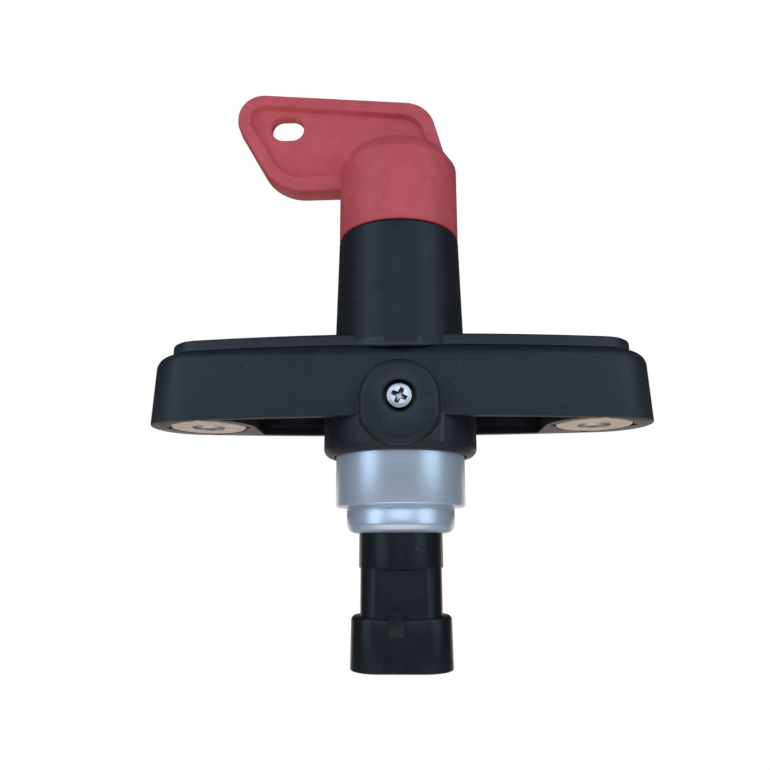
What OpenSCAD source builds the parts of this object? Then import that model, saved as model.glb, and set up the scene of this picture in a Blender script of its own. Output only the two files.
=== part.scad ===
// Battery master switch with a removable flag key: a long bar housing with two screw terminals underneath,
// a tall neck for the key on top, and an auxiliary switch in a turned can with a two-pin connector below.
// The origin is on the key's axis, in the plane of the terminal faces. The terminals lie along X.

/* [Bar housing] */
// Length of the bar over its round ends
bar_length = 118.4; // [98:0.1:150]
// Depth of the bar at its middle
bar_depth = 31.2; // [28:0.2:36]
// Height of the bar from the terminal faces to the cover joint
bar_height = 15.7; // [14:0.1:20]
// Plan radius of the bar's ends
bar_end_r = 11.5; // [11:0.5:13]
// Draft of the bar's sides over its height
bar_draft = 0.7; // [0:0.1:1]
// Round along the bar's top edge
bar_edge_r = 3.2; // [2:0.1:3.4]
// Thickness of the skirt round the open underside
skirt_t = 2.2; // [1.8:0.1:3]
// Width of the step inside the skirt
skirt_step = 1.4; // [1:0.1:2]
// Depth of the contact chamber below the cover joint
chamber_depth = 7.7; // [7:0.1:8.5]
// Thickness of the floor between the chamber and the open underside
floor_t = 1.5; // [1.2:0.1:2]

/* [Collar and boss] */
// Outside radius of the collar that holds the can
collar_r = 17.9; // [17.5:0.1:20]
// Length of the collar below the bar
collar_drop = 7.6; // [6:0.1:10]
// Width of the screw boss on the front of the collar
boss_w = 17.6; // [15:0.1:20]
// Distance from the key's axis to the face of the boss
boss_reach = 20; // [19.5:0.1:22]
// Height of the boss screw above the terminal faces
boss_screw_z = 3.5; // [2:0.1:4]

/* [Cover] */
// Distance from the ends of the cover plate to the ends of the bar
plate_margin = 4.2; // [3:0.1:7]
// Depth of the cover plate at its middle
plate_depth = 24.4; // [24:0.2:28]
// Plan radius of the plate's ends
plate_end_r = 8.5; // [7:0.5:10]
// Thickness of the cover plate
plate_t = 3.8; // [3.5:0.1:5]
// Radius of the neck at its foot
neck_foot_r = 15.6; // [15.5:0.1:18]
// Radius of the neck at its top
neck_top_r = 14.8; // [14.7:0.1:17]
// Height of the neck's top above the cover joint
neck_h = 30.6; // [28:0.1:40]
// Thickness of the lip at the top of the neck
lip_t = 3.8; // [3:0.1:5]

/* [Terminals] */
// Distance from each terminal's axis to the end of the bar
terminal_inset = 13.4; // [13:0.1:16]
// Radius of the terminal's contact face
terminal_r = 8.8; // [8:0.1:9.2]
// Radius of the tapped hole, the M8 tapping size
terminal_hole_r = 3.4; // [2.5:0.1:4.2]
// Radius of the housing pad round each terminal
pad_r = 11.3; // [11:0.1:11.6]

/* [Main contacts] */
// Stroke of the main and auxiliary contacts
travel = 3; // [2.5:0.1:3.6]
// Width of the busbars
busbar_w = 9; // [8:0.5:9]
// Thickness of the busbars
busbar_t = 2; // [1.5:0.1:2.5]
// Half length of the contact bridge
bridge_half = 23; // [21:0.5:25]
// Thickness of the contact bridge
bridge_t = 2.2; // [1.8:0.1:2.6]

/* [Key and spindle] */
// Radius of the bore that the spindle turns in
spindle_bore_r = 11; // [9.5:0.1:12]
// Radius of the key's round stem
stem_r = 7.9; // [7.5:0.1:8.4]
// Size of the key's square tongue
tongue_w = 10; // [8:0.1:10.4]
// Radius of the key's cap
cap_r = 14.8; // [14.5:0.1:17]
// Height of the key's cap
cap_h = 23.2; // [20:0.1:26]
// Thickness of the key's blade
blade_t = 5.8; // [5:0.1:7]
// Thickness of the blade inside its rim
web_t = 2.9; // [2:0.1:4]

/* [Can] */
// Outside radius of the can
can_r = 15; // [14.5:0.1:15.6]
// Outside radius of the can's lower step
can_step_r = 12.4; // [12.2:0.1:13.5]
// Depth of the can's shoulder below the terminal faces
can_shoulder = 19; // [17:0.1:24]
// Height of the can's lower step
can_step_h = 5.9; // [5.2:0.1:8]
// Wall of the can
can_wall = 2.2; // [2:0.1:2.6]

/* [Connector] */
// Radius of the connector's round neck
plug_neck_r = 9.6; // [9.2:0.1:9.8]
// Length of the round neck below the can
plug_neck_h = 7.7; // [6:0.1:12]
// Length of the flattened neck
plug_flat_h = 10.2; // [8:0.1:14]
// Width of the connector shell
shell_w = 22.8; // [20:0.1:26]
// Depth of the connector shell
shell_d = 16.2; // [14:0.1:19]
// Height of the connector shell
shell_h = 11.4; // [9:0.1:14]
// Wall of the connector shell
shell_wall = 1.8; // [1.5:0.1:2]
// Distance from the middle to each pin
pin_x = 4.2; // [4:0.1:4.6]

/* [Hidden] */
$fn = 48;

// Clearances
static_gap = 0.05;
running_gap = 0.08;
contact_gap = 0.1;
moving_gap = 0.3;

// Levels of the bar
floor_z = bar_height - chamber_depth;
recess_z = floor_z - floor_t;
plate_z = bar_height + plate_t;
neck_z = bar_height + neck_h;
lip_z = neck_z - lip_t;
step_z = 2;
terminal_x = bar_length / 2 - terminal_inset;
gasket_t = 0.8;
gasket_inset = 1.9;

// The neck's foot over the bar's edges: half width, drop and distance from the key's axis
apron_half = 9.7;
apron_drop = 1.6;
apron_y = plate_depth / 2 - gasket_inset + 0.8;

// Terminals: a face disc, a body and a rivet through the busbar
terminal_face_t = 3;
terminal_body_r = 7;
notch_reach = terminal_r + 1.6;
thread_depth = floor_z - 0.8;
rivet_r = 2.6;
rivet_head_r = 3.8;
rivet_head_t = 0.8;

// Levels of the main contacts
tip_t = 0.8;
tip_r = 3.2;
tip_inset = 4;
tip_x = bridge_half - tip_inset;
busbar_z = floor_z + busbar_t;
bridge_z = busbar_z + 2 * tip_t + travel + contact_gap;
bridge_top = bridge_z + bridge_t;
bridge_w = busbar_w - 0.6;
channel_w = busbar_w + 0.6;
busbar_end = terminal_x + busbar_w / 2;
busbar_start = tip_x - tip_r - 0.4;
chamber_r = spindle_bore_r - 0.4;
pocket_half = bridge_half + 1;

// Levels of the carrier and the cam
pressure_h = 2.2;
carrier_z = bridge_top + pressure_h;
carrier_t = 2;
carrier_r = spindle_bore_r - 1.5;
carrier_stem_r = 3.2;
carrier_stem_z = floor_z + travel + 0.4;
lug_w = 3;
lug_reach = spindle_bore_r + 1.2;
cam_z = carrier_z + carrier_t;
cam_low = 0.5;
cam_foot = cam_z - 0.6;
cam_start = -14;
cam_end = 108;
cam_in_r = 5.5;
cam_out_r = carrier_r - 0.2;
turn_deg = 90;
pin_r = 1.25;
cam_pin_z = cam_z + cam_low + 1.65;
cam_pin_half = cam_out_r + 0.3;
hub_r = 5.2;
hub_z = cam_z + 0.4;
spindle_z = cam_z + cam_low + travel * cam_end / turn_deg + 0.4;
seat_t = 0.8;
seat_r = 5.2;

// Sections of the three seals, and of their grooves
seal_section_r = 0.75;
seal_groove = 0.8;

// Levels of the spindle and the key
spindle_r = spindle_bore_r - running_gap;
washer_t = 0.8;
spindle_top = lip_z - washer_t - 2 * static_gap;
tongue_z = spindle_z + 4;
lip_hole_r = stem_r + running_gap;
spindle_seal_z = lip_z - 5;
spindle_seal_r = spindle_bore_r - seal_section_r - static_gap;
cap_z = neck_z + moving_gap;
cap_top = cap_z + cap_h;
cap_wall = 2.1;
cap_bevel_w = 2.7;
cap_bevel_h = 4.3;
cap_sink_h = 16;
key_top = cap_top + 18.4;
blade_left = -41.6;
ring_hole = [-28.7, key_top - 9.7];
ring_hole_w = 8.4;
ring_hole_h = 6.4;

// Levels of the can and the auxiliary switch
can_top = recess_z - static_gap;
can_bottom = -can_shoulder - can_step_h;
can_base_t = 1.5;
can_ledge_z = -can_shoulder + 1.2;
can_in_r = can_r - can_wall;
can_step_in_r = can_step_r - 1.2;
can_edge_r = 2.2;
can_gap = 0.5;
can_seal_z = -1.4;
block_z = can_ledge_z;
block_h = 10.3;
block_top = block_z + block_h;
ring_z = block_top + 0.1;
ring_t = 0.8;
ring_depth = 0.6;
pin_head_t = 1.4;
pin_head_r = 1.3;
pin_body_r = 0.75;
disc_z = block_top + pin_head_t + travel + contact_gap;
disc_t = 0.8;
disc_r = 6.5;
plunger_z = disc_z + disc_t;
plunger_r = 2.2;
plunger_top = carrier_stem_z - moving_gap;
plunger_foot_r = 4.5;
plunger_foot_t = 1.2;
guide_r = 1.5;
guide_len = 8;

// Levels of the connector
flange_r = can_step_in_r - static_gap;
flange_z = can_bottom + can_base_t + static_gap;
flange_top = can_ledge_z - static_gap;
connector_seal_r = flange_r - seal_section_r;
connector_seal_z = (flange_z + flange_top) / 2;
neck_end_z = can_bottom - plug_neck_h;
shell_top = neck_end_z - plug_flat_h;
shell_bottom = shell_top - shell_h;
shell_round = 6.8;
shell_roof = 1.5;
flat_w = 18.2;
flat_d = 15.2;
pin_inset = 2.4;
tab_x = -1;
tab_w = 3.4;
tab_h = 5.1;
tab_rise = 1.2;
tab_out = 1.3;

// Screws: M3 with pan heads
screw_r = 1.5;
head_r = 2.75;
head_t = 2.1;
drive_w = 0.8;
drive_depth = 1.2;
cover_screw_x = (collar_r + terminal_x - pad_r) / 2;
cover_screw_y = 7.6;
cover_screw_len = 12;
post_r = 2.3;
post_h = 4.5;
boss_head_y = boss_reach - 2.4;
boss_bore_r = 3.4;
boss_drive_turn = 20;
boss_top_r = boss_w / 2;
boss_top_z = boss_screw_z - 0.45;
boss_low_r = boss_top_r + 0.65;
boss_low_z = -collar_drop + 0.7;

// Points along an arc, without its last point
function arc(c, r, a0, a1, n = 8) = [for (i = [0:n - 1]) c + r * [cos(a0 + (a1 - a0) * i / n),
    sin(a0 + (a1 - a0) * i / n)]];

// A long plan with round ends and bowed sides that meet the ends smoothly
function bowed_plan(half_l, half_w, end_r) =
    let (side_r = (half_l * half_l + half_w * half_w - 2 * half_l * end_r) / (2 * (half_w - end_r)))
    let (c = half_l - end_r, yc = side_r - half_w, a = atan2(yc, c))
    concat(
        arc([c, 0], end_r, -a, a, 12),
        arc([0, -yc], side_r, a, 180 - a, 10),
        arc([-c, 0], end_r, 180 - a, 180 + a, 12),
        arc([0, yc], side_r, 180 + a, 360 - a, 10)
    );

function bar_plan(inset) = bowed_plan(bar_length / 2 - inset, bar_depth / 2 - inset, bar_end_r - inset);
function plate_plan(inset) =
    bowed_plan(bar_length / 2 - plate_margin - inset, plate_depth / 2 - inset, plate_end_r - inset);

// The points of one rounded corner, [x, y, radius], between its two neighbours
function corner(before, at, after, n = 6) =
    let (p = [at[0], at[1]], u = unit([before[0], before[1]] - p), v = unit([after[0], after[1]] - p))
    let (half = acos(u * v) / 2, mid = unit(u + v), c = p + mid * at[2] / sin(half))
    let (start = u * at[2] / tan(half) + p - c, end = v * at[2] / tan(half) + p - c)
    let (a0 = atan2(start[1], start[0]), sweep = turn(a0, atan2(end[1], end[0])))
    [for (i = [0:n]) c + at[2] * [cos(a0 + sweep * i / n), sin(a0 + sweep * i / n)]];
function unit(v) = v / norm(v);
function turn(a0, a1) = a1 - a0 > 180 ? a1 - a0 - 360 : a1 - a0 < -180 ? a1 - a0 + 360 : a1 - a0;
function rounded(corners) = let (n = len(corners))
    [for (i = [0:n - 1]) each corner(corners[(i + n - 1) % n], corners[i], corners[(i + 1) % n])];
function box_corners(w, d, r) =
    [[w / 2, d / 2, r], [-w / 2, d / 2, r], [-w / 2, -d / 2, r], [w / 2, -d / 2, r]];

module slab(points, z0, z1) {
    translate([0, 0, z0]) linear_extrude(z1 - z0) polygon(points);
}

module rod(r, z0, z1) {
    translate([0, 0, z0]) cylinder(r = r, h = z1 - z0);
}

module tube(r_in, r_out, z0, z1) {
    difference() {
        rod(r_out, z0, z1);
        rod(r_in, z0 - 1, z1 + 1);
    }
}

module o_ring(r_mid, section_r, z) {
    translate([0, 0, z]) rotate_extrude() translate([r_mid, 0]) circle(r = section_r, $fn = 24);
}

// An outline in X and Z, extruded along Y between two distances
module upright(points, y0, y1) {
    translate([0, y1, 0]) rotate([90, 0, 0]) linear_extrude(y1 - y0) polygon(points);
}

// A coil spring of round wire that fills z0 to z1
module coil(r_mid, wire, z0, z1, turns) {
    steps = 16 * turns;
    sides = 6;
    rise = (z1 - z0 - wire) / steps;
    points = [
        for (i = [0:steps])
            let (a = 360 * i / 16, z = z0 + wire / 2 + rise * i)
            for (k = [0:sides - 1])
                let (b = 360 * k / sides, r = r_mid + wire / 2 * cos(b))
                [r * cos(a), r * sin(a), z + wire / 2 * sin(b)]
    ];
    faces = [
        [for (k = [0:sides - 1]) k],
        [for (k = [sides - 1:-1:0]) steps * sides + k],
        for (i = [0:steps - 1])
            for (k = [0:sides - 1])
                let (a = i * sides + k, b = i * sides + (k + 1) % sides)
                [a, a + sides, b + sides, b]
    ];
    polyhedron(points, faces);
}

// A pan-head screw with a cross recess: head below z = 0, shank above
module pan_screw(length) {
    difference() {
        union() {
            rod(head_r, -head_t, 0);
            rod(screw_r, -0.5, length);
        }
        for (a = [0, 90])
            rotate(a) translate([-head_r * 0.6, -drive_w / 2, -head_t - 1])
                cube([head_r * 1.2, drive_w, drive_depth + 1]);
    }
}

module each_cover_screw() {
    for (x = [-cover_screw_x, cover_screw_x], y = [-cover_screw_y, cover_screw_y])
        translate([x, y, 0]) children();
}

module each_side() {
    for (side = [0, 180])
        rotate(side) children();
}

// ---- Housing ----

module recess_plan(inset) {
    difference() {
        polygon(bar_plan(inset));
        circle(r = collar_r);
        pad_plan();
        mirror([1, 0]) pad_plan();
    }
}

module pad_plan() {
    translate([terminal_x, 0]) circle(r = pad_r);
    translate([terminal_x - pad_r, 0]) square([bar_length, bar_depth]);
    translate([terminal_x, -bar_depth]) square([bar_length, 2 * bar_depth]);
}

module bar_shell() {
    rounds = [for (a = [0, 30, 60, 90]) [bar_edge_r * (1 - cos(a)), bar_height - bar_edge_r * (1 - sin(a))]];
    hull() {
        slab(bar_plan(0), 0, 1);
        for (p = rounds)
            slab(bar_plan(p[0] + bar_draft * p[1] / bar_height), p[1] - 0.01, p[1]);
    }
}

// A pad with a round top and bottom on the collar and the bar, whose face is this far from the key's axis
module boss(reach) {
    side_a = acos(boss_top_r / boss_low_r);
    outline = concat(
        arc([0, boss_top_z], boss_top_r, 0, 180, 16),
        [[-boss_top_r, boss_top_z]],
        arc([0, boss_low_z + boss_low_r], boss_low_r, 180 + side_a, 360 - side_a, 16),
        [[boss_top_r, boss_low_z + boss_low_r * (1 - sin(side_a))]]
    );
    upright(outline, -reach, -bar_depth / 2 + skirt_t);
}

// The front and back of the neck's foot, carried down over the bar's rounded edges
module neck_apron(gap, top) {
    rise_r = (apron_half * apron_half + apron_drop * apron_drop) / (2 * apron_drop);
    low_z = bar_height - apron_drop - gap;
    intersection() {
        rod(neck_foot_r + gap, low_z, top);
        translate([0, bar_length, low_z + rise_r]) rotate([90, 0, 0]) rod(rise_r, 0, 2 * bar_length);
        union() {
            for (side = [-1, 1])
                translate([-bar_length / 2, side * (apron_y - gap + bar_depth) - bar_depth, 0])
                    cube([bar_length, 2 * bar_depth, neck_z]);
        }
    }
}

module base_housing() color([0.13, 0.15, 0.18]) {
    difference() {
        union() {
            bar_shell();
            rod(collar_r, -collar_drop, 0);
            boss(boss_reach);
            mirror([0, 1, 0]) boss(collar_r);
        }
        rod(can_r + can_gap, -collar_drop - 1, recess_z);
        rod(plunger_r + running_gap, recess_z - 1, floor_z + 1);
        translate([0, 0, -1]) linear_extrude(step_z + 1) recess_plan(skirt_t);
        linear_extrude(recess_z) recess_plan(skirt_t + skirt_step);
        each_side() {
            translate([terminal_x, 0, 0]) {
                rod(terminal_r + static_gap, -1, terminal_face_t);
                slab([for (a = [0:90:270]) notch_reach * [cos(a), sin(a)]], -1, terminal_face_t);
                rod(terminal_body_r + static_gap, 0, floor_z + 1);
            }
            translate([0, -channel_w / 2, floor_z]) cube([busbar_end + moving_gap, channel_w, bar_height]);
        }
        rod(chamber_r, floor_z, bar_height + 1);
        slab(plate_plan(gasket_inset - static_gap), bar_height - gasket_t, bar_height + 1);
        neck_apron(static_gap, bar_height + 1);
        each_cover_screw() {
            rod(head_r + moving_gap, -1, recess_z);
            rod(screw_r + static_gap * 2, 0, bar_height + 1);
            rod(post_r + static_gap, bar_height - post_h - static_gap, bar_height + 1);
        }
        translate([0, -boss_reach, boss_screw_z]) rotate([-90, 0, 0]) {
            rod(boss_bore_r, -1, boss_reach - boss_head_y);
            rod(screw_r + static_gap * 2, 0, boss_reach - can_r);
        }
    }
}

module cover() color([0.10, 0.12, 0.14]) {
    difference() {
        union() {
            slab(plate_plan(0), bar_height, plate_z);
            translate([0, 0, bar_height]) cylinder(r1 = neck_foot_r, r2 = neck_top_r, h = neck_h);
            neck_apron(0, bar_height);
            each_cover_screw() rod(post_r, bar_height - post_h, bar_height + 1);
        }
        rod(spindle_bore_r, bar_height - 1, lip_z);
        rod(lip_hole_r, lip_z - 1, neck_z + 1);
        translate([-pocket_half, -channel_w / 2, bar_height - 1])
            cube([2 * pocket_half, channel_w, bridge_top + 0.5 - bar_height + 1]);
        translate([-lug_w / 2 - moving_gap, -lug_reach - moving_gap, bar_height - 1])
            cube([lug_w + 2 * moving_gap, 2 * (lug_reach + moving_gap), cam_z + 1.5 - bar_height]);
        each_cover_screw() rod(screw_r + static_gap, bar_height - post_h - 1, recess_z + cover_screw_len + 0.3);
    }
}

module cover_gasket() color([0.08, 0.08, 0.08]) {
    difference() {
        slab(plate_plan(gasket_inset), bar_height - gasket_t + static_gap, bar_height - static_gap);
        rod(chamber_r + static_gap, 0, plate_z);
        translate([-busbar_end - moving_gap, -channel_w / 2 - static_gap, 0])
            cube([2 * (busbar_end + moving_gap), channel_w + 2 * static_gap, plate_z]);
        each_cover_screw() rod(post_r + static_gap, 0, plate_z);
    }
}

module cover_screws() color([0.7, 0.7, 0.72]) {
    each_cover_screw() translate([0, 0, recess_z]) pan_screw(cover_screw_len);
}

// ---- Terminals and fixed contacts ----

module terminal() {
    difference() {
        union() {
            rod(terminal_r, 0, terminal_face_t - static_gap);
            rod(terminal_body_r, 0, floor_z);
            rod(rivet_r, floor_z - 1, busbar_z + 0.1);
            rod(rivet_head_r, busbar_z, busbar_z + rivet_head_t);
        }
        rod(terminal_hole_r, -1, thread_depth);
    }
}

module left_terminal() color([0.72, 0.70, 0.66]) translate([-terminal_x, 0, 0]) terminal();
module right_terminal() color([0.72, 0.70, 0.66]) translate([terminal_x, 0, 0]) terminal();

module busbar() {
    half = busbar_w / 2;
    difference() {
        slab(rounded([
            [busbar_end, half, half * 0.9], [busbar_start, half, 1],
            [busbar_start, -half, 1], [busbar_end, -half, half * 0.9]
        ]), floor_z, busbar_z);
        translate([terminal_x, 0, 0]) rod(rivet_r + static_gap, 0, bar_height);
    }
}

module left_busbar() color([0.80, 0.46, 0.28]) rotate(180) busbar();
module right_busbar() color([0.80, 0.46, 0.28]) busbar();

module fixed_tip() rod(tip_r, busbar_z, busbar_z + tip_t);
module left_contact_tip() color([0.85, 0.85, 0.87]) translate([-tip_x, 0, 0]) fixed_tip();
module right_contact_tip() color([0.85, 0.85, 0.87]) translate([tip_x, 0, 0]) fixed_tip();

// ---- Key and spindle ----

module blade() {
    outline = rounded([
        [7.9, key_top - 3.7, 8],
        [13.3, cap_top - 5.3, 0.5],
        [0, cap_top - 9.6, 0.5],
        [-30.8, cap_top - 10, 12],
        [blade_left, key_top - 9.2, 5],
        [blade_left, key_top + 0.2, 6.5]
    ]);
    sunk = rounded([
        [5.4, key_top - 7.5, 6.5],
        [9.1, cap_top - 3.3, 0.5],
        [-28.9, cap_top - 5.9, 8],
        [blade_left + 3.5, key_top - 8.9, 2],
        [blade_left + 3.5, key_top - 3.5, 3.4]
    ]);
    hole = [for (p = rounded(box_corners(ring_hole_w, ring_hole_h, ring_hole_h / 2 - 0.1))) p + ring_hole];
    difference() {
        upright(outline, -blade_t / 2, blade_t / 2);
        upright(sunk, -blade_t, -web_t / 2);
        upright(sunk, web_t / 2, blade_t);
        upright(hole, -blade_t, blade_t);
    }
}

module cap() {
    rotate_extrude() polygon([
        [0, cap_z],
        [cap_r, cap_z],
        [cap_r, cap_top - cap_bevel_h],
        [cap_r - cap_bevel_w, cap_top],
        [0, cap_top]
    ]);
}

module key() color([0.72, 0.16, 0.18]) {
    difference() {
        union() {
            cap();
            blade();
        }
        rod(cap_r - cap_wall, cap_z - 1, cap_z + cap_sink_h);
    }
    rod(stem_r, lip_z - 1, cap_z + cap_sink_h + 1);
    translate([-tongue_w / 2, -tongue_w / 2, tongue_z + 0.5]) cube([tongue_w, tongue_w, lip_z - tongue_z]);
}

module spindle() color([0.85, 0.83, 0.78]) {
    socket_w = tongue_w + 2 * running_gap;
    difference() {
        union() {
            rod(spindle_r, spindle_z, spindle_top);
            rod(hub_r, hub_z, spindle_z + 1);
        }
        tube(spindle_seal_r - seal_section_r, spindle_r + 1, spindle_seal_z - seal_groove,
            spindle_seal_z + seal_groove);
        translate([-socket_w / 2, -socket_w / 2, tongue_z]) cube([socket_w, socket_w, neck_h]);
        rod(stem_r + running_gap, lip_z - 1.5, neck_z);
        translate([0, 0, cam_pin_z]) rotate([0, 90, 0]) rod(pin_r, -cam_pin_half - 1, cam_pin_half + 1);
    }
}

module spindle_seal() color([0.07, 0.07, 0.07]) o_ring(spindle_seal_r, seal_section_r, spindle_seal_z);

module thrust_washer() color([0.92, 0.92, 0.90]) {
    tube(lip_hole_r + 0.3, spindle_bore_r - running_gap, lip_z - washer_t - static_gap, lip_z - static_gap);
}

module cam_pin() color([0.75, 0.76, 0.78]) {
    translate([0, 0, cam_pin_z]) rotate([0, 90, 0]) rod(pin_r, -cam_pin_half, cam_pin_half);
}

// ---- Moving contacts ----

// A ramp that climbs by the stroke in a quarter turn, clockwise seen from above
module ramp() {
    steps = 20;
    function level(a) = cam_z + cam_low + travel * a / turn_deg;
    points = [
        for (i = [0:steps])
            let (a = cam_start + (cam_end - cam_start) * i / steps)
            for (p = [[cam_in_r, cam_foot], [cam_out_r, cam_foot], [cam_out_r, level(a)], [cam_in_r, level(a)]])
                [p[0] * cos(a), -p[0] * sin(a), p[1]]
    ];
    faces = [
        [0, 1, 2, 3],
        [for (k = [3:-1:0]) steps * 4 + k],
        for (i = [0:steps - 1])
            for (k = [0:3])
                let (a = i * 4 + k, b = i * 4 + (k + 1) % 4)
                each [[a, a + 4, b + 4], [a, b + 4, b]]
    ];
    polyhedron(points, faces);
}

module contact_carrier() color([0.16, 0.17, 0.20]) {
    rod(carrier_r, carrier_z, cam_z);
    rod(carrier_stem_r, carrier_stem_z, carrier_z + 1);
    translate([-lug_w / 2, -lug_reach, carrier_z]) cube([lug_w, 2 * lug_reach, carrier_t]);
    each_side() ramp();
}

module contact_bridge() color([0.80, 0.46, 0.28]) {
    difference() {
        slab(rounded(box_corners(2 * bridge_half, bridge_w, 2)), bridge_z, bridge_top);
        rod(carrier_stem_r + static_gap, 0, plate_z);
    }
}

module bridge_tip() rod(tip_r, bridge_z - tip_t, bridge_z);
module left_bridge_tip() color([0.85, 0.85, 0.87]) translate([-tip_x, 0, 0]) bridge_tip();
module right_bridge_tip() color([0.85, 0.85, 0.87]) translate([tip_x, 0, 0]) bridge_tip();

module pressure_spring() color([0.6, 0.62, 0.65]) {
    coil(4.2, 0.7, bridge_top + static_gap, carrier_z - static_gap, 2);
}

module spring_seat() color([0.7, 0.71, 0.74]) tube(carrier_stem_r + static_gap, seat_r, bridge_z - seat_t, bridge_z);

module return_spring() color([0.6, 0.62, 0.65]) {
    coil(4.4, 0.8, floor_z + static_gap, bridge_z - seat_t - static_gap, 3);
}

// ---- Can and auxiliary switch ----

module can() color([0.78, 0.80, 0.83]) {
    seal_r = can_r + can_gap - 2 * seal_section_r - static_gap;
    profile = concat(
        [[plug_neck_r + static_gap, can_bottom]],
        arc([can_step_r - can_edge_r, can_bottom + can_edge_r], can_edge_r, 270, 360, 6),
        [
            [can_step_r, can_bottom + can_edge_r],
            [can_step_r, -can_shoulder],
            [can_r, -can_shoulder],
            [can_r, can_seal_z - seal_groove],
            [seal_r, can_seal_z - seal_groove],
            [seal_r, can_seal_z + seal_groove],
            [can_r, can_seal_z + seal_groove],
            [can_r, can_top],
            [can_in_r, can_top],
            [can_in_r, ring_z + ring_t + static_gap],
            [can_in_r + ring_depth, ring_z + ring_t + static_gap],
            [can_in_r + ring_depth, ring_z - static_gap],
            [can_in_r, ring_z - static_gap],
            [can_in_r, can_ledge_z],
            [can_step_in_r, can_ledge_z],
            [can_step_in_r, can_bottom + can_base_t],
            [plug_neck_r + static_gap, can_bottom + can_base_t]
        ]
    );
    difference() {
        rotate_extrude($fn = 64) polygon(profile);
        translate([0, 0, boss_screw_z]) rotate([90, 0, 0]) rod(screw_r + static_gap, can_in_r - 2, can_r + 1);
    }
}

module can_seal() color([0.07, 0.07, 0.07]) {
    o_ring(can_r + can_gap - seal_section_r - static_gap, seal_section_r, can_seal_z);
}

module can_screw() color([0.66, 0.63, 0.58]) {
    translate([0, -boss_head_y, boss_screw_z]) rotate([-90, 0, 0])
        rotate(boss_drive_turn) pan_screw(boss_head_y - can_in_r + 0.5);
}

module aux_block() color([0.20, 0.21, 0.22]) {
    difference() {
        rod(can_in_r - static_gap, block_z, block_top);
        rod(guide_r + running_gap, disc_z - guide_len - travel, block_top + 1);
        for (side = [-1, 1])
            translate([side * pin_x, 0, 0]) rod(pin_body_r + static_gap, block_z - 1, block_top + 1);
    }
}

module block_ring() color([0.6, 0.62, 0.65]) {
    difference() {
        tube(can_in_r - 1.6, can_in_r + ring_depth - static_gap, ring_z, ring_z + ring_t);
        translate([0, -2, ring_z - 1]) cube([can_r, 4, ring_t + 2]);
    }
}

module aux_plunger() color([0.90, 0.89, 0.85]) {
    rod(plunger_r, plunger_z, plunger_top);
    rod(plunger_foot_r, plunger_z, plunger_z + plunger_foot_t);
    rod(guide_r, disc_z - guide_len + 1, plunger_z + 1);
}

module aux_contact_disc() color([0.80, 0.62, 0.30]) tube(guide_r + static_gap, disc_r, disc_z, plunger_z);

module aux_spring() color([0.6, 0.62, 0.65]) {
    coil(2.15, 0.4, block_top + static_gap, disc_z - static_gap, 3);
}

module pin() {
    rod(pin_body_r, shell_bottom + pin_inset, block_top + 0.1);
    rod(pin_head_r, block_top, block_top + pin_head_t);
}

module left_pin() color([0.80, 0.66, 0.36]) translate([-pin_x, 0, 0]) pin();
module right_pin() color([0.80, 0.66, 0.36]) translate([pin_x, 0, 0]) pin();

// ---- Connector ----

module lock_tab() {
    top = shell_top + tab_rise;
    translate([tab_x - tab_w / 2, 0, 0]) rotate([90, 0, 90]) linear_extrude(tab_w) polygon([
        [-shell_d / 2 + 1, top],
        [-shell_d / 2 - tab_out, top],
        [-shell_d / 2 - tab_out, top - 1.6],
        [-shell_d / 2, top - tab_h],
        [-shell_d / 2 + 1, top - tab_h]
    ]);
}

module connector() color([0.12, 0.13, 0.16]) {
    difference() {
        union() {
            rod(plug_neck_r, neck_end_z, flange_z + 1);
            rod(flange_r, flange_z, flange_top);
            slab(rounded(box_corners(flat_w, flat_d, 5)), shell_top - 1, neck_end_z);
            slab(rounded(box_corners(shell_w, shell_d, shell_round)), shell_bottom, shell_top);
            lock_tab();
        }
        tube(connector_seal_r - seal_section_r, flange_r + 1, connector_seal_z - seal_groove,
            connector_seal_z + seal_groove);
        slab(rounded(box_corners(shell_w - 2 * shell_wall, shell_d - 2 * shell_wall, shell_round - shell_wall)),
            shell_bottom - 1, shell_top - shell_roof);
        for (side = [-1, 1])
            translate([side * pin_x, 0, 0]) rod(pin_body_r + static_gap, shell_bottom, flange_top + 1);
    }
}

module connector_seal() color([0.62, 0.30, 0.12]) o_ring(connector_seal_r, seal_section_r, connector_seal_z);

base_housing();
cover();
cover_gasket();
cover_screws();
left_terminal();
right_terminal();
left_busbar();
right_busbar();
left_contact_tip();
right_contact_tip();
key();
spindle();
spindle_seal();
thrust_washer();
cam_pin();
contact_carrier();
contact_bridge();
left_bridge_tip();
right_bridge_tip();
pressure_spring();
spring_seat();
return_spring();
can();
can_seal();
can_screw();
aux_block();
block_ring();
aux_plunger();
aux_contact_disc();
aux_spring();
left_pin();
right_pin();
connector();
connector_seal();
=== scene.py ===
"""A battery master switch with a removable flag key, held up in a plain bright studio."""

import math

import bmesh
import bpy
from mathutils import Matrix, Vector


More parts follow.
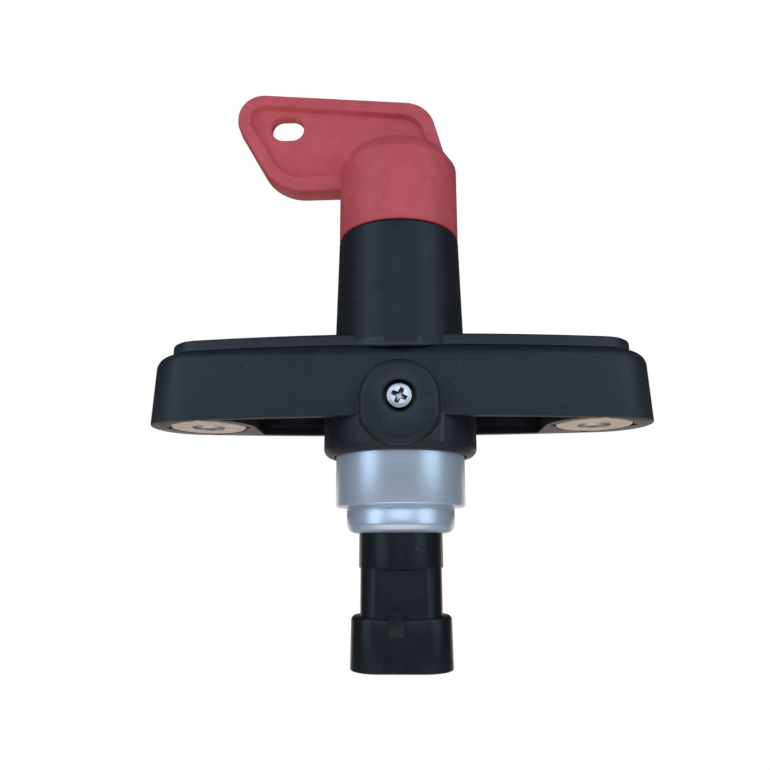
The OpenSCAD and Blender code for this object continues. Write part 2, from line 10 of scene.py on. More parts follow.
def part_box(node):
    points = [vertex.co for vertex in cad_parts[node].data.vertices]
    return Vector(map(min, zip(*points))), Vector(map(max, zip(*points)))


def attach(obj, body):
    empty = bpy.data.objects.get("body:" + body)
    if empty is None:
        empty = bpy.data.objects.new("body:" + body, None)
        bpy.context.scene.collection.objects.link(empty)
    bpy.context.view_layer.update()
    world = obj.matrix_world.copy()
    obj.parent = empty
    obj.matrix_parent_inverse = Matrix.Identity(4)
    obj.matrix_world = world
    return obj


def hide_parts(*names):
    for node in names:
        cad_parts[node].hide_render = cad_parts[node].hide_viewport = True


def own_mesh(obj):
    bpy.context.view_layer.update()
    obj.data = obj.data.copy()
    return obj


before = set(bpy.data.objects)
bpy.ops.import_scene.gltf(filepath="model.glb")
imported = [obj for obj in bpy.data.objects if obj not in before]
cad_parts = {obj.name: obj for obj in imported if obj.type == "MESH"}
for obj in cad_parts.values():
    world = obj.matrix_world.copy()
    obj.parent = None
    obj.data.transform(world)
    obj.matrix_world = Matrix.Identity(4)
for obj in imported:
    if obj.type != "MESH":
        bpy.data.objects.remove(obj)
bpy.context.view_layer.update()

MM = 0.001

# ---- Sizes, in millimetres, read from the frame ----


def low_high(node):
    """The lowest and highest corners of a CAD node, in millimetres."""
    low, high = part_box(node)
    return low / MM, high / MM


base_low, base_high = low_high("base_housing")
cover_low, cover_high = low_high("cover")
key_low, key_high = low_high("key")
can_low, can_high = low_high("can")
disc_low, disc_high = low_high("right_terminal")
plug_low, plug_high = low_high("connector")
screw_low, screw_high = low_high("can_screw")
cover_screw_low, cover_screw_high = low_high("cover_screws")

BAR_HALF = base_high.x
BAR_DEPTH_HALF = 15.6
BAR_DRAFT = 0.7
BAR_END_R = 11.5
# The joint under the plate is drawn a little higher than in the CAD
JOINT_RISE = 0.9
BAR_TOP = base_high.z + JOINT_RISE
BAR_EDGE = 3.2
SKIRT = 2.2
SKIRT_STEP = 1.4
STEP_Z = 2.0
RECESS_Z = 6.5

COLLAR_R = 17.9
COLLAR_LOW = base_low.z
BOSS_Y = base_low.y
BOSS_HALF = 8.8
BOSS_TOP_DROP = 0.45
BOSS_LOW_RISE = 0.7
BOSS_LOW_R = BOSS_HALF + 0.65
SCREW_BORE_R = 3.5
SCREW_BORE_DEPTH = 2.6
SCREW_Z = (screw_low.z + screw_high.z) / 2

PLATE_HALF = cover_high.x
PLATE_DEPTH_HALF = 12.2
PLATE_END_R = 8.5
PLATE_TOP = BAR_TOP + 2.9
NECK_TOP = cover_high.z
NECK_FOOT_R = -cover_low.y
NECK_TOP_R = 14.8
NECK_BORE_R = 11.0
LIP_HOLE_R = 8.0
LIP_T = 3.8
APRON_HALF = 9.7
APRON_DROP = 1.0

TERMINAL_X = (disc_low.x + disc_high.x) / 2
TERMINAL_R = (disc_high.x - disc_low.x) / 2
PAD_R = 11.3
NOTCH = TERMINAL_R + 1.6
TERMINAL_FACE_T = 3.0
TERMINAL_BODY_R = 7.0
RIVET_R = 2.6
RIVET_HEAD_R = 3.8
THREAD_R = 3.4
THREAD_PITCH = 1.25
THREAD_CUT = 0.45
THREAD_DEPTH = 7.2
FLOOR_Z = 8.0
CHANNEL = 4.8
CHANNEL_END = 50.6
CHAMBER_R = 10.6
PLUNGER_BORE_R = 2.3
LUG_SLOT_HALF = 1.8
LUG_SLOT_REACH = 12.5
LUG_SLOT_TOP = 22.6
POCKET_HALF = 24.0
POCKET_TOP = 17.4

CAN_R = can_high.x
CAN_STEP_R = 12.4
CAN_SHOULDER = -19.0
CAN_LOW = can_low.z
CAN_WALL = 2.2
CAN_BASE_T = 1.5
CAN_STEP_WALL = 1.2

KEY_GAP = 0.3
CAP_R = key_high.y
CAP_LOW = NECK_TOP + KEY_GAP
CAP_TOP = CAP_LOW + 23.2
CAP_BEVEL_W = 2.7
CAP_BEVEL_H = 4.3
KEY_TOP = CAP_TOP + 18.4
KEY_LEFT = -41.6
BLADE_HALF = 2.9
WEB_HALF = 1.45
RING_HOLE_X = -28.7
RING_HOLE_DROP = 9.7
CAP_WALL = 2.1
CAP_SINK = 16.0
STEM_R = 7.9
STEM_LOW = 43.0
TONGUE_W = 10.0

PLUG_NECK_R = 9.6
PLUG_NECK_LOW = CAN_LOW - 7.7
SHELL_TOP = PLUG_NECK_LOW - 10.2
SHELL_LOW = plug_low.z
SHELL_W = 22.8
SHELL_D = 16.2
SHELL_WALL = 1.8
SHELL_ROUND = 6.8
SHELL_ROOF = 1.5
FLANGE_R = 11.1
TAB_X = -1.0
TAB_HALF = 1.7
TAB_H = 5.1
TAB_OUT = 1.3
TAB_RISE = 1.2

HEAD_R = 2.75
HEAD_T = 2.1
SHANK_R = 1.5
CAN_SCREW_TURN = 24
COVER_SCREW_LENGTH = 11.9
COVER_SCREW_WELL_R = 3.05

# ---- Mesh helpers: all take millimetres ----


def mesh_object(name, points, faces):
    """A mesh object in metres from points in millimetres."""
    mesh = bpy.data.meshes.new(name)
    mesh.from_pydata([tuple(c * MM for c in p) for p in points], [], faces)
    mesh.validate()
    mesh.update()
    obj = bpy.data.objects.new(name, mesh)
    bpy.context.collection.objects.link(obj)
    return obj


def arc(cx, cy, r, a0, a1, n):
    """Points along an arc in degrees, both ends included."""
    angles = [math.radians(a0 + (a1 - a0) * i / n) for i in range(n + 1)]
    return [(cx + r * math.cos(a), cy + r * math.sin(a)) for a in angles]


def circle(r, z, steps):
    """Points round the Z axis at one height."""
    return level(arc(0, 0, r, 0, 360 * (1 - 1 / steps), steps - 1), z)


def loft(name, rings):
    """A closed solid through rings of equal length, each a list of (x, y, z)."""
    n = len(rings[0])
    points = [p for ring in rings for p in ring]
    faces = [list(range(n - 1, -1, -1)), [(len(rings) - 1) * n + k for k in range(n)]]
    for i in range(len(rings) - 1):
        for k in range(n):
            a, b = i * n + k, i * n + (k + 1) % n
            faces.append([a, b, b + n, a + n])
    return mesh_object(name, points, faces)


def lathe(name, profile, steps=128):
    """A shape turned about Z from (r, z): solid if the profile starts on the axis, else a ring."""
    ring = profile[0][0] > 0
    rings = [
        [(r * math.cos(t), r * math.sin(t), z) for t in (math.tau * k / steps for k in range(steps))]
        for r, z in profile
        if r > 0
    ]
    if not ring:
        return loft(name, rings)
    n, m = steps, len(rings)
    points = [p for r in rings for p in r]
    faces = [
        [i * n + k, i * n + (k + 1) % n, (i + 1) % m * n + (k + 1) % n, (i + 1) % m * n + k]
        for i in range(m)
        for k in range(n)
    ]
    return mesh_object(name, points, faces)


def level(outline, z):
    """A flat outline at one height."""
    return [(x, y, z) for x, y in outline]


def upright(outline, y):
    """An outline in X and Z, standing at one depth."""
    return [(x, y, z) for x, z in outline]


def move(obj, x=0.0, y=0.0, z=0.0):
    """Move a mesh's points."""
    obj.data.transform(Matrix.Translation((x * MM, y * MM, z * MM)))
    return obj


def recalculate(obj):
    """Turn all faces outwards."""
    bm = bmesh.new()
    bm.from_mesh(obj.data)
    bmesh.ops.remove_doubles(bm, verts=bm.verts, dist=1e-7)
    bmesh.ops.recalc_face_normals(bm, faces=bm.faces)
    bm.to_mesh(obj.data)
    bm.free()
    return obj


def combine(obj, tools, operation):
    """Join tools to obj, or cut them from it, and remove them."""
    for tool in tools:
        recalculate(obj)
        recalculate(tool)
        step = obj.modifiers.new("combine", "BOOLEAN")
        step.operation = operation
        step.solver = "EXACT"
        step.object = tool
        graph = bpy.context.evaluated_depsgraph_get()
        made = bpy.data.meshes.new_from_object(obj.evaluated_get(graph))
        obj.modifiers.clear()
        old = obj.data
        obj.data = made
        bpy.data.meshes.remove(old)
        bpy.data.objects.remove(tool)
    return obj


def join(obj, *tools):
    return combine(obj, tools, "UNION")


def cut(obj, *tools):
    return combine(obj, tools, "DIFFERENCE")


def shade(obj, angle=32):
    """Smooth shading, with edges sharper than the angle kept crisp."""
    recalculate(obj)
    obj.data.shade_smooth()
    obj.data.set_sharp_from_angle(angle=math.radians(angle))
    return obj


def place(obj, body, material, *nodes, slot=None):
    """Give a piece its material, its body and the CAD nodes that it stands for."""
    obj.data.materials.clear()
    obj.data.materials.append(material)
    if nodes:
        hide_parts(*nodes)
    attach(obj, body)
    return obj


def offset_corners(corners, inset):
    """Corners (x, y, radius) of a counter-clockwise outline, moved inwards."""
    moved = []
    n = len(corners)
    for i, (x, y, r) in enumerate(corners):
        before = Vector(corners[i - 1][:2])
        after = Vector(corners[(i + 1) % n][:2])
        at = Vector((x, y))
        u = (at - before).normalized()
        v = (after - at).normalized()
        nu = Vector((-u.y, u.x))
        nv = Vector((-v.y, v.x))
        bisector = (nu + nv).normalized()
        at = at + bisector * (inset / max(bisector.dot(nu), 0.2))
        moved.append((at.x, at.y, max(r - inset, 0.05)))
    return moved


def rounded(corners, inset=0.0, n=10):
    """An outline with round corners, from counter-clockwise corners (x, y, radius)."""
    corners = offset_corners(corners, inset) if inset else corners
    outline = []
    count = len(corners)
    for i, (x, y, r) in enumerate(corners):
        at = Vector((x, y))
        u = (Vector(corners[i - 1][:2]) - at).normalized()
        v = (Vector(corners[(i + 1) % count][:2]) - at).normalized()
        half = math.acos(max(-1, min(1, u.dot(v)))) / 2
        centre = at + (u + v).normalized() * (r / math.sin(half))
        start = at + u * (r / math.tan(half)) - centre
        end = at + v * (r / math.tan(half)) - centre
        a0 = math.atan2(start.y, start.x)
        sweep = math.atan2(end.y, end.x) - a0
        sweep = (sweep + math.pi) % math.tau - math.pi
        for k in range(n + 1):
            a = a0 + sweep * k / n
            outline.append((centre.x + r * math.cos(a), centre.y + r * math.sin(a)))
    return outline


def box_corners(w, d, r):
    return [(w / 2, -d / 2, r), (w / 2, d / 2, r), (-w / 2, d / 2, r), (-w / 2, -d / 2, r)]


def bowed_plan(half_l, half_w, end_r):
    """A long plan with round ends and bowed sides, counter-clockwise."""
    side_r = (half_l**2 + half_w**2 - 2 * half_l * end_r) / (2 * (half_w - end_r))
    c = half_l - end_r
    yc = side_r - half_w
    a = math.degrees(math.atan2(yc, c))
    outline = arc(c, 0, end_r, -a, a, 40)
    outline += arc(0, -yc, side_r, a, 180 - a, 48)[1:-1]
    outline += arc(-c, 0, end_r, 180 - a, 180 + a, 40)
    outline += arc(0, yc, side_r, 180 + a, 360 - a, 48)[1:-1]
    return outline


def bar_plan(inset):
    return bowed_plan(BAR_HALF - inset, BAR_DEPTH_HALF - inset, BAR_END_R - inset)


def plate_plan(inset):
    return bowed_plan(PLATE_HALF - inset, PLATE_DEPTH_HALF - inset, PLATE_END_R - inset)


def rounding(radius, n=6):
    """(inset, drop) pairs of a quarter round, from the side face to the end face."""
    steps = [math.radians(90 * i / n) for i in range(n + 1)]
    return [(radius * (1 - math.cos(a)), radius * (1 - math.sin(a))) for a in steps]


def disc_tool(r, z0, z1, flare=0.0, steps=96):
    """A round cutter whose mouth at z0 flares to break the edge of the hole."""
    outline = [(r + flare, z0 - 1), (r + flare, z0), (r, z0 + flare), (r, z1)]
    return loft("tool", [circle(at_r, z, steps) for at_r, z in outline])


def block_tool(half_x, half_y, z0, z1):
    """A square-edged cutter centred on the key's axis."""
    plan = [(half_x, -half_y), (half_x, half_y), (-half_x, half_y), (-half_x, -half_y)]
    return loft("tool", [level(plan, z0), level(plan, z1)])


# ---- Housing ----


def boss_outline(inset):
    """The pad's outline: a half round above, straight sides and a broad arc below."""
    half = BOSS_HALF - inset
    low_r = BOSS_LOW_R - inset
    low_z = COLLAR_LOW + BOSS_LOW_RISE + BOSS_LOW_R
    side = math.degrees(math.acos(half / low_r))
    outline = arc(0, SCREW_Z - BOSS_TOP_DROP, half, 0, 180, 40)
    outline += arc(0, low_z, low_r, 180 + side, 360 - side, 32)
    return outline


def boss(reach, edge=1.7):
    """A pad standing out to one depth, with a soft edge and slight draft."""
    inner = -BAR_DEPTH_HALF + SKIRT
    rings = [upright(boss_outline(-0.25), inner)]
    for inset, drop in rounding(edge):
        rings.append(upright(boss_outline(inset), -reach + drop))
    return loft("boss", rings)


def recess_tool(inset, top):
    """The open underside between the collar and the two terminal pads."""
    past = 3
    wide = 30
    tool = loft("recess", [level(bar_plan(inset), -1), level(bar_plan(inset), top)])
    cut(tool, disc_tool(COLLAR_R, -past, top + past))
    for side in (-1, 1):
        middle = side * TERMINAL_X
        pad = move(disc_tool(PAD_R, -past, top + past), x=middle)
        inner = side * (TERMINAL_X - PAD_R)
        outer = side * BAR_HALF * 1.1
        back = [(inner, 0), (outer, 0), (outer, wide), (inner, wide)]
        end = [(middle, -wide), (outer, -wide), (outer, wide), (middle, wide)]
        blocks = [loft("pad", [level(p, -past), level(p, top + past)]) for p in (back, end)]
        cut(tool, pad, *blocks)
    return tool


def housing_body():
    """The bar, its collar and the two pads, before anything is cut from them."""
    rings = [level(bar_plan(0.35), 0), level(bar_plan(0.1), 0.1), level(bar_plan(0), 0.35)]
    for inset, drop in rounding(BAR_EDGE, 10):
        z = BAR_TOP - drop
        rings.append(level(bar_plan(inset + BAR_DRAFT * z / BAR_TOP), z))
    body = loft("base_housing_skin", rings)
    collar_edge = 2.0
    profile = [(0, COLLAR_LOW), (COLLAR_R - collar_edge, COLLAR_LOW)]
    profile += [(COLLAR_R - i, COLLAR_LOW + d) for i, d in reversed(rounding(collar_edge, 8))]
    profile += [(COLLAR_R, 0.6), (0, 0.6)]
    collar = lathe("collar", profile)
    back = boss(COLLAR_R)
    back.data.transform(Matrix.Scale(-1, 4, (0, 1, 0)))
    join(body, collar, boss(-BOSS_Y), back)
    return body


def base_housing(material):
    """The bar housing, with its open underside, terminal pockets, contact chamber and screw holes."""
    body = housing_body()
    cut(body, disc_tool(CAN_R + 0.5, COLLAR_LOW, RECESS_Z, 0.25))
    cut(body, recess_tool(SKIRT, STEP_Z), recess_tool(SKIRT + SKIRT_STEP, RECESS_Z))
    for side in (-1, 1):
        square = [(NOTCH, 0), (0, NOTCH), (-NOTCH, 0), (0, -NOTCH)]
        pocket = loft("notches", [level(square, -1), level(square, TERMINAL_FACE_T - 0.1)])
        hole = disc_tool(TERMINAL_R + 0.12, 0, TERMINAL_FACE_T, 0.2)
        cut(body, move(pocket, x=side * TERMINAL_X), move(hole, x=side * TERMINAL_X))
    above = BAR_TOP + 1
    cut(body, disc_tool(CHAMBER_R, FLOOR_Z + 1, above), block_tool(CHANNEL_END, CHANNEL, FLOOR_Z, above))
    cut(body, disc_tool(PLUNGER_BORE_R, RECESS_Z, FLOOR_Z + 2))
    cut(body, block_tool(LUG_SLOT_HALF, LUG_SLOT_REACH, base_high.z, above))
    counterbore = disc_tool(SCREW_BORE_R, 0, SCREW_BORE_DEPTH, 0.35)
    counterbore.data.transform(
        Matrix.Translation((0, BOSS_Y * MM, SCREW_Z * MM)) @ Matrix.Rotation(math.radians(-90), 4, "X")
    )
    cut(body, counterbore)
    for x in (cover_screw_high.x - HEAD_R, cover_screw_low.x + HEAD_R):
        for y in (cover_screw_high.y - HEAD_R, cover_screw_low.y + HEAD_R):
            cut(body, move(disc_tool(COVER_SCREW_WELL_R, 0, RECESS_Z), x, y))
    return place(shade(body), "housing", material, "base_housing", slot="black_housing")


def apron(side=1):
    """The neck's foot, carried down over one rounded edge of the bar, lowest in the middle."""
    top = BAR_TOP + 0.3
    steps = 32
    inner, edge, edge_h = 0.72, 0.988, 0.22
    rise_r = (APRON_HALF**2 + APRON_DROP**2) / (2 * APRON_DROP)
    reach = math.degrees(math.asin(APRON_HALF / NECK_FOOT_R))
    rings = []
    for k in range(steps + 1):
        a = math.radians(-reach + 2 * reach * k / steps)
        x, y = NECK_FOOT_R * math.sin(a), -side * NECK_FOOT_R * math.cos(a)
        low = BAR_TOP - APRON_DROP + rise_r - math.sqrt(rise_r**2 - x**2)
        section = [(inner, low), (edge, low), (1, low + edge_h), (1, top), (inner, top)]
        rings.append([(x, y * share, z) for share, z in section])
    return loft("apron", rings)


def cover(material):
    """The plate and the tapered neck, whose foot stands past the plate front and back."""
    rings = [level(plate_plan(0.25), BAR_TOP), level(plate_plan(0), BAR_TOP + 0.25)]
    for inset, drop in rounding(0.7, 4):
        rings.append(level(plate_plan(inset), PLATE_TOP - drop))
    body = loft("cover_skin", rings)
    profile = [(0, BAR_TOP + 0.02), (NECK_FOOT_R - 0.2, BAR_TOP + 0.02), (NECK_FOOT_R, BAR_TOP + 0.3)]
    foot = (BAR_TOP + 0.8, BAR_TOP + 1.6, PLATE_TOP + 0.3, PLATE_TOP + 1.0)
    for z in (*foot, NECK_TOP - 6, NECK_TOP - 1.2):
        t = (z - BAR_TOP) / (NECK_TOP - BAR_TOP)
        profile.append((NECK_FOOT_R + (NECK_TOP_R - NECK_FOOT_R) * t, z))
    profile += [(NECK_TOP_R - i, NECK_TOP - d) for i, d in rounding(0.5, 5)]
    profile += [(0, NECK_TOP)]
    neck = lathe("neck", profile)
    join(body, neck, apron(), apron(-1))
    cut(body, disc_tool(LIP_HOLE_R, NECK_TOP - 4, NECK_TOP + 1))
    cut(body, disc_tool(NECK_BORE_R, BAR_TOP - 1, NECK_TOP - LIP_T))
    cut(body, block_tool(POCKET_HALF, CHANNEL, BAR_TOP - 2, POCKET_TOP))
    cut(body, block_tool(LUG_SLOT_HALF, LUG_SLOT_REACH, BAR_TOP - 2, LUG_SLOT_TOP))
    return place(shade(body), "housing", material, "cover", slot="black_cover")


# ---- Key ----

BLADE = [
    (7.9, KEY_TOP - 3.7, 8.0),
    (KEY_LEFT, KEY_TOP + 0.2, 6.5),
    (KEY_LEFT, KEY_TOP - 9.2, 5.0),
    (-30.8, CAP_TOP - 10.0, 12.0),
    (0.0, CAP_TOP - 9.6, 0.5),
    (13.3, CAP_TOP - 5.3, 0.5),
]
SUNK = [
    (5.4, KEY_TOP - 7.5, 6.5),
    (KEY_LEFT + 3.5, KEY_TOP - 3.5, 3.6),
    (KEY_LEFT + 3.5, KEY_TOP - 8.9, 2.0),
    (-28.9, CAP_TOP - 5.9, 8.0),
    (9.1, CAP_TOP - 3.3, 0.5),
]


def key(material):
    """The flag key: a cap over the neck, a blade with a sunk face on both sides, and a ring hole."""
    edge = rounding(0.9, 6)
    rings = [upright(rounded(BLADE, i), -BLADE_HALF + d) for i, d in reversed(edge)]
    rings += [upright(rounded(BLADE, i), BLADE_HALF - d) for i, d in edge]
    blade = loft("key_skin", rings)
    depth = BLADE_HALF - WEB_HALF
    walls = [(-0.5, -1.0), (-0.5, -0.02), (-0.2, 0.12), (0.0, 0.4)]
    walls += [(0.25, depth - 0.55), (0.55, depth - 0.18), (1.1, depth)]
    for side in (-1, 1):
        cut(blade, loft("sunk", [upright(rounded(SUNK, i), side * (BLADE_HALF - d)) for i, d in walls]))
    hole_z = KEY_TOP - RING_HOLE_DROP
    hole = [(RING_HOLE_X + x, hole_z + z, r) for x, z, r in box_corners(8.4, 6.4, 3.1)]
    mouth = -0.45
    flare = [(mouth, -WEB_HALF - 2), (mouth, -WEB_HALF), (0, -WEB_HALF + 0.4)]
    flare += [(0, WEB_HALF - 0.4), (mouth, WEB_HALF), (mouth, WEB_HALF + 2)]
    cut(blade, loft("ring_hole", [upright(rounded(hole, i), y) for i, y in flare]))
    profile = [(0, CAP_LOW), (CAP_R - 0.25, CAP_LOW), (CAP_R, CAP_LOW + 0.25)]
    profile += [(CAP_R, CAP_TOP - CAP_BEVEL_H - 0.2), (CAP_R - 0.1, CAP_TOP - CAP_BEVEL_H + 0.15)]
    profile += [(CAP_R - CAP_BEVEL_W + 0.25, CAP_TOP - 0.5), (CAP_R - CAP_BEVEL_W - 0.4, CAP_TOP - 0.02)]
    profile += [(0, CAP_TOP)]
    cap = lathe("cap", profile)
    cut(cap, disc_tool(CAP_R - CAP_WALL, CAP_LOW, CAP_LOW + CAP_SINK))
    join(blade, cap)
    stem_top = CAP_LOW + CAP_SINK + 1
    profile = [(0, STEM_LOW), (STEM_R - 0.3, STEM_LOW), (STEM_R, STEM_LOW + 0.4)]
    profile += [(STEM_R, stem_top), (0, stem_top)]
    stem = lathe("stem", profile, 64)
    tongue = []
    for inset, z in ((0.6, key_low.z), (0, key_low.z + 0.6), (0, STEM_LOW + 0.5)):
        width = TONGUE_W - 2 * inset
        tongue.append(level(rounded(box_corners(width, width, 0.5), 0, 3), z))
    join(blade, stem, loft("tongue", tongue))
    return place(shade(blade, 24), "key", material, "key", slot="red_plastic")


# ---- Can, terminals and screws ----


def can(material):
    """The turned can, with its step and broken edges."""
    hole_r = PLUG_NECK_R + 0.1
    ledge = CAN_SHOULDER + CAN_STEP_WALL
    profile = [(hole_r, CAN_LOW)]
    profile += [(CAN_STEP_R - i, CAN_LOW + d) for i, d in reversed(rounding(2.2, 10))]
    profile += [(CAN_STEP_R, CAN_SHOULDER - 0.25), (CAN_STEP_R - 0.15, CAN_SHOULDER)]
    profile += [(CAN_R - 0.5, CAN_SHOULDER), (CAN_R - 0.15, CAN_SHOULDER + 0.15)]
    profile += [(CAN_R, CAN_SHOULDER + 0.5), (CAN_R, can_high.z)]
    profile += [(CAN_R - CAN_WALL, can_high.z), (CAN_R - CAN_WALL, ledge)]
    profile += [(CAN_STEP_R - CAN_STEP_WALL, ledge), (CAN_STEP_R - CAN_STEP_WALL, CAN_LOW + CAN_BASE_T)]
    profile += [(hole_r, CAN_LOW + CAN_BASE_T)]
    body = lathe("can_skin", profile, 192)
    return place(shade(body, 40), "housing", material, "can", slot="aluminium")


def terminal(name, x, node, material):
    """The disc face with a broken edge, a countersunk threaded blind hole and a rivet on top."""
    r = TERMINAL_R
    thread = []
    turns = int((THREAD_DEPTH - 0.6) / THREAD_PITCH * 2)
    for i in range(turns):
        z = 0.55 + THREAD_PITCH / 2 * i
        thread.append((THREAD_R + (0.0 if i % 2 else THREAD_CUT), z))
    profile = [(0, 10.8), (RIVET_HEAD_R, 10.8), (RIVET_HEAD_R, 10), (RIVET_R, 10), (RIVET_R, FLOOR_Z)]
    profile += [(TERMINAL_BODY_R, FLOOR_Z), (TERMINAL_BODY_R, TERMINAL_FACE_T), (r, TERMINAL_FACE_T - 0.05)]
    profile += [(r, 0.25), (r - 0.25, 0), (THREAD_R + 0.5, 0.0)]
    profile += thread + [(THREAD_R, THREAD_DEPTH), (0, THREAD_DEPTH + 0.8)]
    body = loft(name, [circle(max(at_r, 0.02), z, 96) for at_r, z in profile])
    move(body, x)
    return place(shade(body, 30), "housing", material, node, slot="tinned_brass")


def pan_screw(name, length, turn=0):
    """A pan-head screw along +Z with its head below zero: crowned head and cross recess."""
    profile = [(0, -HEAD_T), (HEAD_R * 0.6, -HEAD_T + 0.02), (HEAD_R * 0.86, -HEAD_T + 0.12)]
    profile += [(HEAD_R * 0.95, -HEAD_T + 0.22), (HEAD_R, -HEAD_T + 0.5), (HEAD_R, -0.1), (HEAD_R - 0.1, 0)]
    profile += [(SHANK_R, 0), (SHANK_R, length - 0.4), (SHANK_R - 0.4, length), (0, length)]
    body = lathe(name, profile, 64)
    wings = []
    arm, arm_half = 1.75, 0.46
    for q in range(4):
        a = math.radians(90 * q + turn)
        for d, w in ((arm, -arm_half), (arm, arm_half), (arm_half * 1.25, arm_half * 1.25)):
            wings.append((d * math.cos(a) - w * math.sin(a), d * math.sin(a) + w * math.cos(a)))
    taper = ((1.06, -0.5), (1.0, 0.05), (0.8, 0.9), (0.6, 1.25))
    rings = [level([(x * share, y * share) for x, y in wings], depth - HEAD_T) for share, depth in taper]
    cut(body, loft("cross", rings))
    return body


def can_screw(material):
    """The screw in the boss, which holds the can."""
    body = pan_screw("can_screw_skin", screw_high.y - screw_low.y - HEAD_T, CAN_SCREW_TURN)
    body.data.transform(Matrix.Rotation(math.radians(-90), 4, "X"))
    move(body, y=screw_low.y + HEAD_T, z=SCREW_Z)
    return place(shade(body, 30), "housing", material, "can_screw", slot="zinc_steel")


def cover_screws(material):
    """The four screws that hold the cover from below."""
    xs = (cover_screw_low.x + HEAD_R, cover_screw_high.x - HEAD_R)
    ys = (cover_screw_low.y + HEAD_R, cover_screw_high.y - HEAD_R)
    whole = None
    for i, (x, y) in enumerate((x, y) for x in xs for y in ys):
        one = move(pan_screw("cover_screws_skin", COVER_SCREW_LENGTH, 17 * i), x, y, RECESS_Z)
        whole = one if whole is None else join(whole, one)
    return place(shade(whole, 30), "housing", material, "cover_screws", slot="zinc_steel")


# ---- Connector ----


def connector(material):
    """Round neck, flattened neck and shell with a lock tab and its guide ribs."""
    flange_z = CAN_LOW + 1.6
    profile = [(0, PLUG_NECK_LOW)]
    profile += [(PLUG_NECK_R - i, PLUG_NECK_LOW + d) for i, d in reversed(rounding(0.4, 4))]
    profile += [(PLUG_NECK_R - 0.06, flange_z), (FLANGE_R, flange_z)]
    profile += [(FLANGE_R, plug_high.z), (0, plug_high.z)]
    body = lathe("connector_skin", profile)
    flat = box_corners(18.2, 15.2, 5.0)
    flat_rings = [level(rounded(flat, -0.05), SHELL_TOP - 1), level(rounded(flat), PLUG_NECK_LOW + 0.5)]
    waist = loft("waist", flat_rings)
    shell = box_corners(SHELL_W, SHELL_D, SHELL_ROUND)
    rings = [level(rounded(shell, i), SHELL_LOW + z) for i, z in ((0.35, 0), (0.1, 0.12), (0, 0.4))]
    rings += [level(rounded(shell, i + 0.15), SHELL_TOP - d) for i, d in rounding(0.9, 5)]
    sleeve = loft("shell", rings)
    join(body, waist, sleeve)
    front = -SHELL_D / 2
    top = SHELL_TOP + TAB_RISE
    side = [(front + 1, top), (front - TAB_OUT, top), (front - TAB_OUT, top - 2.4)]
    side += [(front - 0.2, top - TAB_H), (front + 1, top - TAB_H)]
    tab = loft("tab", [[(x, y, z) for y, z in side] for x in (TAB_X - TAB_HALF, TAB_X + TAB_HALF)])
    join(body, tab)
    rib_half = 0.09
    for x in (TAB_X - TAB_HALF + 0.1, TAB_X + TAB_HALF - 0.1):
        rib = [(x - rib_half, front - 0.05), (x + rib_half, front - 0.05)]
        rib += [(x + rib_half, front + 1), (x - rib_half, front + 1)]
        join(body, loft("rib", [level(rib, SHELL_LOW + 0.6), level(rib, SHELL_TOP - 3)]))
    socket = box_corners(SHELL_W - 2 * SHELL_WALL, SHELL_D - 2 * SHELL_WALL, SHELL_ROUND - SHELL_WALL)
    mouth = -0.3
    heights = [(mouth, SHELL_LOW - 1), (mouth, SHELL_LOW)]
    heights += [(0, SHELL_LOW + 0.3), (0, SHELL_TOP - SHELL_ROOF)]
    cut(body, loft("socket", [level(rounded(socket, i), z) for i, z in heights]))
    return place(shade(body, 28), "housing", material, "connector", slot="black_connector")


def spring(name, node, material):
    """A coil copied from its CAD node and carried with the housing."""
    piece = bpy.data.objects.new(name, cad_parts[node].data.copy())
    bpy.context.collection.objects.link(piece)
    place(piece, "housing", material, node, slot="spring_steel")
    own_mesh(piece)


# ---- Materials ----

BLACK = (0, 0, 0)
WHITE = (1, 1, 1)


def new_material(name, color, roughness, metallic=0.0):
    """A principled material and its tools: (material, nodes, links, shader)."""
    material = bpy.data.materials.new(name)
    material.use_nodes = True
    nodes, links = material.node_tree.nodes, material.node_tree.links
    shader = nodes["Principled BSDF"]
    shader.inputs["Base Color"].default_value = (*color, 1)
    shader.inputs["Roughness"].default_value = roughness
    shader.inputs["Metallic"].default_value = metallic
    return material, nodes, links, shader


def object_noise(nodes, links, scale, detail=3.0, stretch=(1, 1, 1)):
    """Noise in object space, in features per metre."""
    place_node = nodes.new("ShaderNodeTexCoord")
    mapping = nodes.new("ShaderNodeMapping")
    mapping.inputs["Scale"].default_value = stretch
    noise = nodes.new("ShaderNodeTexNoise")
    noise.inputs["Scale"].default_value = scale
    noise.inputs["Detail"].default_value = detail
    links.new(place_node.outputs["Object"], mapping.inputs["Vector"])
    links.new(mapping.outputs["Vector"], noise.inputs["Vector"])
    return noise


def ramp(nodes, links, source, stops):
    """A colour ramp through (position, colour) stops."""
    node = nodes.new("ShaderNodeValToRGB")
    while len(node.color_ramp.elements) < len(stops):
        node.color_ramp.elements.new(0.5)
    for element, (position, color) in zip(node.color_ramp.elements, stops):
        element.position = position
        element.color = (*color, 1)
    links.new(source, node.inputs["Fac"])
    return node.outputs["Color"]


def spread(nodes, links, source, low, high):
    """Map 0..1 to low..high."""
    node = nodes.new("ShaderNodeMapRange")
    node.inputs["To Min"].default_value = low
    node.inputs["To Max"].default_value = high
    links.new(source, node.inputs["Value"])
    return node.outputs["Result"]


def bump(nodes, links, shader, source, depth):
    """Add a bump of a depth in metres on top of any that the shader has."""
    node = nodes.new("ShaderNodeBump")
    node.inputs["Distance"].default_value = depth
    links.new(source, node.inputs["Height"])
    if shader.inputs["Normal"].is_linked:
        links.new(shader.inputs["Normal"].links[0].from_socket, node.inputs["Normal"])
    links.new(node.outputs["Normal"], shader.inputs["Normal"])


